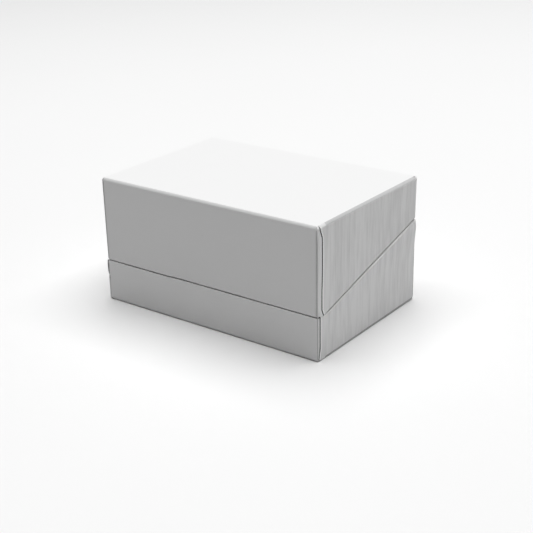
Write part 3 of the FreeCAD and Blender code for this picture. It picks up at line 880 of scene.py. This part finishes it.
def neck_stations(half, front, back, radius):
    """Places and outward normals along the collar's outside, left rear round to right rear."""
    steps = 24
    right = [(Vector((x / 12 * (half - radius), front)), Vector((0, -1))) for x in range(13)]
    for sine, cosine in quarter(5):
        place = Vector((half - radius + radius * sine, front + radius - radius * cosine))
        right.append((place, Vector((sine, -cosine))))
    for i in range(1, steps + 1):
        y = lerp(front + radius, back, i / steps)
        right.append((Vector((half, y)), Vector((1, 0))))
    left = [(Vector((-p.x, p.y)), Vector((-n.x, n.y))) for p, n in right[1:]]
    return left[::-1] + right


# ---- hinge papers ----


def creased_sheet(name, half, y, low, high, facing, material, replaces, reach):
    """A sheet on the back wall that bends at the joint between base and lid."""
    levels = [lerp(low, HINGE.z - reach, i / 10) for i in range(11)]
    levels += [lerp(HINGE.z - reach, HINGE.z + reach, i / 8) for i in range(1, 9)]
    levels += [lerp(HINGE.z + reach, high, i / 8) for i in range(1, 9)]
    across = [lerp(-half, half, i / 30) for i in range(31)]
    points = []
    for z in levels:
        crease = 0.10 * MM * math.exp(-(((z - HINGE.z) / (0.35 * MM)) ** 2))
        for x in across:
            uneven = 0.02 * MM * noise.noise(Vector((x * 70, z * 90, 3)))
            points.append(Vector((x, y - facing * (crease - uneven), z)))
    faces = grid_faces(len(levels), len(across), flip=facing > 0)
    piece = new_piece(name, mesh_from(name, points, faces), None, [material], replaces)
    thicken(piece, SKIN)
    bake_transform(piece)


def hinge_papers():
    margin = 1.1 * MM
    creased_sheet(
        "hinge_sheet_paper",
        HALF_LID - margin,
        BACK + 0.02 * MM,
        BASE_LOW.z + 0.5 * MM,
        TOP - 0.3 * MM,
        1,
        WRAP_BASE_PAINTED_LIGHT,
        ["hinge_sheet_lower", "hinge_sheet_upper"],
        0.5 * MM,
    )
    strip_low, strip_high = corners("hinge_strip_lower")[0], corners("hinge_strip_upper")[1]
    creased_sheet(
        "hinge_strip_paper",
        strip_high.x,
        BACK - LINED_WALL - 0.14 * MM,
        strip_low.z,
        strip_high.z,
        -1,
        STRIP,
        ["hinge_strip_lower", "hinge_strip_upper"],
        1.3 * MM,
    )


# ---- insert ----


def rounded_loop(half_x, half_y, radius, counts):
    """Places and outward normals round a rounded rectangle; counts are points per side and corner."""
    along_x, along_y, corner = counts
    loop = []
    turn = math.pi / 2
    sides = [
        ((-1, -1), (1, -1), along_x, -turn),
        ((1, -1), (1, 1), along_y, 0.0),
        ((1, 1), (-1, 1), along_x, turn),
        ((-1, 1), (-1, -1), along_y, 2 * turn),
    ]
    for (ax, ay), (bx, by), count, heading in sides:
        normal = Vector((math.cos(heading), math.sin(heading)))
        centre_a = Vector((ax * (half_x - radius), ay * (half_y - radius)))
        centre_b = Vector((bx * (half_x - radius), by * (half_y - radius)))
        for i in range(count):
            centre = centre_a.lerp(centre_b, i / count)
            loop.append((centre + normal * radius, normal))
        for i in range(corner):
            angle = heading + turn * i / corner
            turned = Vector((math.cos(angle), math.sin(angle)))
            loop.append((centre_b + turned * radius, turned))
    return loop


# The ring slot's half sizes, depth and rounded lip, and the furthest that the padding may swell.
SLOT_HALF = Vector((13.0, 2.4)) * MM
SLOT_ROUND = 1.5 * MM
SLOT_DEEP = 11.6 * MM
LIP = 1.1 * MM
VELVET_ROUND = 1.8 * MM
VELVET_SWELLS = 0.25 * MM


def insert_cover():
    """Velvet over the foam block: soft top edges, a crowned top and a lined ring slot."""
    low, high = corners("insert_cover")
    middle = ((low + high) / 2).xy
    half = ((high - low) / 2).xy
    top = high.z
    radius = VELVET_ROUND
    counts = (44, 26, 5)
    outer = rounded_loop(half.x, half.y, radius, counts)
    slot = rounded_loop(SLOT_HALF.x, SLOT_HALF.y, SLOT_ROUND, counts)
    points = []
    count = len(outer)
    side_rows = 7
    for i in range(side_rows):
        z = lerp(low.z + 0.1 * MM, top - radius, i / (side_rows - 1))
        points += [raised(middle + place, z) for place, normal in outer]
    for sine, cosine in quarter(6):
        inset, z = radius * (1 - cosine), top - radius * (1 - sine)
        points += [raised(middle + place - normal * inset, z) for place, normal in outer]
    rings = 22
    for i in range(1, rings + 1):
        t = i / rings
        for (place, normal), (inner, inner_normal) in zip(outer, slot):
            start = place - normal * radius
            end = inner + inner_normal * LIP
            flat = start.lerp(end, t)
            points.append(raised(middle + flat, top + crown(flat, half)))
    for sine, cosine in quarter(6):
        inset, drop = LIP * sine, LIP * (1 - cosine)
        for place, normal in slot:
            z = top + crown(place + normal * LIP, half) - drop
            points.append(raised(middle + place + normal * (LIP - inset), z))
    wall_rows = 6
    for i in range(1, wall_rows + 1):
        z = lerp(top - LIP, top - SLOT_DEEP, i / wall_rows)
        points += [raised(middle + place, z) for place, normal in slot]
    for shrink in (0.6, 0.2):
        points += [raised(middle + place * shrink, top - SLOT_DEEP) for place, normal in slot]
    rows = len(points) // count
    plush = [p + plush_offset(p) for p in points]
    faces = grid_faces(rows, count, closed=True)
    faces.append(tuple((rows - 1) * count + c for c in range(count)))
    faces.append(tuple(range(count))[::-1])
    mesh = mesh_from("insert_velvet", plush, faces)
    mesh = puffed(mesh, lambda place: place.z < top - LIP, VELVET_SWELLS)
    piece = new_piece("insert_velvet", mesh, "insert", [VELVET], ["insert_cover"])
    return piece


def crown(flat, half):
    """How far the padded top rises above its edge."""
    u = flat.x / half.x
    v = flat.y / half.y
    return 0.38 * MM * (1 - u * u) * (1 - v * v)


def plush_offset(point):
    """Slight unevenness of the velvet."""
    return noise.noise_vector(point * 120.0) * 0.05 * MM


def earring_holes(cover):
    """Two punched holes behind the ring slot."""
    low, high = corners("insert_cover")
    middle_y = (low.y + high.y) / 2
    aside, behind = 10.0 * MM, 14.0 * MM
    hole = {"cap_ends": True, "segments": 24, "radius1": 0.8 * MM, "radius2": 1.0 * MM, "depth": 12.0 * MM}
    cutter = bmesh.new()
    for x in (-aside, aside):
        place = Matrix.Translation((x, middle_y + behind, high.z))
        bmesh.ops.create_cone(cutter, matrix=place, **hole)
    mesh = bpy.data.meshes.new("hole_cutter")
    cutter.to_mesh(mesh)
    cutter.free()
    tool = bpy.data.objects.new("hole_cutter", mesh)
    bpy.context.scene.collection.objects.link(tool)
    cut = cover.modifiers.new("earring_holes", "BOOLEAN")
    cut.operation = "DIFFERENCE"
    cut.solver = "EXACT"
    cut.object = tool
    apply_modifiers(cover)
    bpy.data.objects.remove(tool)


def apply_modifiers(piece):
    """Replaces a piece's mesh by what its modifiers make of it."""
    bpy.context.view_layer.update()
    graph = bpy.context.evaluated_depsgraph_get()
    result = bpy.data.meshes.new_from_object(piece.evaluated_get(graph))
    old = piece.data
    piece.modifiers.clear()
    piece.data = result
    bpy.data.meshes.remove(old)


def lift_ribbon():
    """A looped tab of satin ribbon that lies on the insert, its ends tucked into a slit."""
    low, high = corners("lift_ribbon")
    half = (high.x - low.x) / 2
    slit = high.y - 0.4 * MM
    tip = low.y + 0.7 * MM
    rest = low.z + 0.30 * MM
    path = [
        (slit, low.z - 1.2 * MM),
        (slit - 0.3 * MM, rest + 0.05 * MM),
        (slit - 1.6 * MM, rest + 0.12 * MM),
        (lerp(slit, tip, 0.5), rest + 0.02 * MM),
        (tip + 1.6 * MM, rest + 0.10 * MM),
        (tip - 0.1 * MM, rest + 0.75 * MM),
        (tip + 1.3 * MM, rest + 1.75 * MM),
        (lerp(slit, tip, 0.55), rest + 1.90 * MM),
        (slit - 2.4 * MM, rest + 1.30 * MM),
        (slit + 0.15 * MM, rest + 0.35 * MM),
        (slit + 0.3 * MM, low.z - 1.2 * MM),
    ]
    line = smooth_line(path, 6)
    across = [lerp(-half, half, i / 24) for i in range(25)]
    points = []
    for k, (y, z) in enumerate(line):
        for x in across:
            curl = 0.10 * MM * math.sin(x / half * 1.4 + k * 0.11)
            selvedge = 0.06 * MM * smooth((abs(x) - half + 0.9 * MM) / (0.3 * MM))
            points.append(Vector((x, y, z + curl + selvedge)))
    mesh = mesh_from("lift_ribbon_satin", points, grid_faces(len(line), len(across)))
    piece = new_piece("lift_ribbon_satin", mesh, "insert", [RIBBON], ["lift_ribbon"])
    thicken(piece, 0.16 * MM, offset=0.0)


def smooth_line(points, steps):
    """A Catmull-Rom line through points given as pairs."""
    padded = [points[0]] + list(points) + [points[-1]]
    line = []
    for a, b, c, d in zip(padded, padded[1:], padded[2:], padded[3:]):
        for i in range(steps):
            t = i / steps
            pair = []
            for p, q, r, s in zip(a, b, c, d):
                value = 2 * q + (r - p) * t + (2 * p - 5 * q + 4 * r - s) * t * t
                pair.append((value + (3 * q - p - 3 * r + s) * t * t * t) / 2)
            line.append(tuple(pair))
    line.append(points[-1])
    return line


# ---- pad in the lid ----


# The cushion before it is puffed: clearance at the sides, corner radius, depth of its upright sides,
# room left to swell into, and the furthest that it may swell.
PAD_CLEAR = 0.1 * MM
PAD_ROUND = 1.5 * MM
PAD_UPRIGHT = 1.8 * MM
PAD_ROOM = 1.3 * MM
PAD_SWELLS = 1.2 * MM


def lid_pad():
    """A satin cushion under the lid's top, puffed by a short cloth simulation."""
    low, high = corners("lid_pad_satin")
    half = ((high - low) / 2).xy
    thick = high.z - low.z
    loop = rounded_loop(half.x - PAD_CLEAR, half.y - PAD_CLEAR, PAD_ROUND, (40, 26, 4))
    points = []
    for depth in (0.1 * MM, PAD_UPRIGHT / 2, PAD_UPRIGHT):
        points += [raised(place, high.z - depth) for place, normal in loop]
    bottom = low.z + PAD_ROOM
    round_up = thick - PAD_UPRIGHT - PAD_ROOM
    for sine, cosine in quarter(4):
        shift = round_up * (1 - cosine)
        z = bottom + round_up * (1 - sine)
        points += [raised(place - normal * shift, z) for place, normal in loop]
    rings = 24
    for i in range(1, rings):
        inwards = 1 - i / rings
        points += [raised((place - normal * round_up) * inwards, bottom) for place, normal in loop]
    count = len(loop)
    faces = grid_faces(len(points) // count, count, closed=True, flip=True)
    faces.append(tuple(range(count)))
    faces.append(tuple(len(points) - count + c for c in range(count))[::-1])
    mesh = mesh_from("lid_pad_cushion", points, faces)
    held_above = high.z - PAD_UPRIGHT - 0.1 * MM
    mesh = puffed(mesh, lambda place: place.z > held_above, PAD_SWELLS)
    piece = new_piece("lid_pad_cushion", mesh, "lid", [SATIN], ["lid_pad_satin", "lid_pad_foam"])


CLOTH_FRAMES = 20


def puffed(mesh, is_held, most):
    """Padding blown up by a short cloth simulation, at ten times its size so that the solver is stable.

    Points that is_held picks out stay where they are glued; none moves further than the given limit.
    """
    scale = 10.0
    before = [Vector(v.co) for v in mesh.vertices]
    held = [v.index for v in mesh.vertices if is_held(v.co)]
    big = mesh.copy()
    big.transform(Matrix.Scale(scale, 4))
    body = bpy.data.objects.new("cushion_simulation", big)
    bpy.context.scene.collection.objects.link(body)
    body.vertex_groups.new(name="held").add(held, 1.0, "REPLACE")
    cloth = body.modifiers.new("cloth", "CLOTH")
    settings = cloth.settings
    settings.quality = 3
    settings.mass = 0.2
    settings.tension_stiffness = 30.0
    settings.compression_stiffness = 30.0
    settings.bending_stiffness = 0.4
    settings.use_pressure = True
    settings.uniform_pressure_force = 4.0
    settings.effector_weights.gravity = 0.0
    settings.vertex_group_mass = "held"
    scene = bpy.context.scene
    for number in range(1, CLOTH_FRAMES + 1):
        scene.frame_set(number)
    graph = bpy.context.evaluated_depsgraph_get()
    result = body.evaluated_get(graph).to_mesh()
    after = [Vector(v.co) / scale for v in result.vertices]
    body.evaluated_get(graph).to_mesh_clear()
    scene.frame_set(1)
    bpy.data.objects.remove(body)
    for vertex, old, new in zip(mesh.vertices, before, after):
        moved = new - old
        if moved.length > most:
            moved *= most / moved.length
        vertex.co = old + moved
    return mesh


# ---- materials on the carried-over nodes ----


NODE_MATERIALS = {
    "magnet": NICKEL,
    "foam": FOAM,
    "pad_card": WHITE_CARD,
    "bottom_sheet": LINING,
    "base_liner": LINING,
    "board": GREYBOARD,
    "backing": GREYBOARD,
}


def finish_nodes():
    """Better materials for the nodes that stay as they are."""
    for name, node in frame["nodes"].items():
        for part, material in NODE_MATERIALS.items():
            if part in name:
                node.data.materials.clear()
                node.data.materials.append(material)


# ---- stage ----


def camera():
    """The photograph's viewpoint: a little to the right of the front, looking down."""
    azimuth, elevation, roll = (math.radians(a) for a in (36.93, 22.29, -1.19))
    distance = 403.0 * MM
    aside, above = 2.05 * MM, 11.38 * MM
    level = math.cos(elevation)
    back = Vector((math.sin(azimuth) * level, -math.cos(azimuth) * level, math.sin(elevation)))
    right = (-back).cross(Vector((0, 0, 1))).normalized()
    up = right.cross(-back)
    turned_right = right * math.cos(roll) + up * math.sin(roll)
    turned_up = up * math.cos(roll) - right * math.sin(roll)
    data = bpy.data.cameras.new("camera")
    data.sensor_width = 36.0
    data.lens = 76.25
    data.clip_start = 0.01
    data.clip_end = 20.0
    made = bpy.data.objects.new("camera", data)
    bpy.context.scene.collection.objects.link(made)
    place = back * distance + turned_right * aside + turned_up * above
    axes = Matrix((turned_right, turned_up, back)).transposed().to_4x4()
    made.matrix_world = Matrix.Translation(place) @ axes
    bpy.context.scene.camera = made


def floor():
    """A round pale floor with very faint clouds."""
    reach, count = 1.35, 96
    angles = [2 * math.pi * i / count for i in range(count)]
    rim = [(reach * math.cos(angle), reach * math.sin(angle), 0) for angle in angles]
    mesh = bpy.data.meshes.new("floor")
    mesh.from_pydata(rim, [], [tuple(range(count))])
    made = bpy.data.objects.new("floor", mesh)
    bpy.context.scene.collection.objects.link(made)
    paint = Shader("floor_paint", shade(0.80), 0.9)
    cloud = paint.noise((3.0, 3.0, 3.0), detail=2.0)
    paint.tint(paint.remap(cloud, 0.3, 0.7), shade(0.76), shade(0.77))
    paint.bsdf.inputs["Specular IOR Level"].default_value = 0.1
    mesh.materials.append(paint.material)


def lights():
    """One wide softbox overhead that shines straight down, with a dim room round it."""
    softbox = bpy.data.lights.new("overhead_softbox", "AREA")
    softbox.shape = "SQUARE"
    softbox.size = 2.2
    softbox.energy = 60.5
    made = bpy.data.objects.new("overhead_softbox", softbox)
    bpy.context.scene.collection.objects.link(made)
    made.location = (0.05, 0.22, 1.8)
    world = bpy.data.worlds.new("studio")
    world.use_nodes = True
    # The room lights the box very little, but looks pale behind it.
    room = world.node_tree
    background = room.nodes["Background"]
    background.inputs["Color"].default_value = (1, 1, 1, 1)
    seen = room.nodes.new("ShaderNodeLightPath").outputs["Is Camera Ray"]
    strength = room.nodes.new("ShaderNodeMapRange")
    strength.inputs["To Min"].default_value = 0.02
    strength.inputs["To Max"].default_value = 0.70
    room.links.new(seen, strength.inputs["Value"])
    room.links.new(strength.outputs["Result"], background.inputs["Strength"])
    bpy.context.scene.world = world
    bpy.context.scene.view_settings.view_transform = "Standard"
    bpy.context.scene.view_settings.gamma = 0.80


camera()
floor()
lights()
lid_wrap()
lid_front_core()
base_wrap()
neck_wrap()
lid_pad()
earring_holes(insert_cover())
lift_ribbon()
hinge_papers()
finish_nodes()
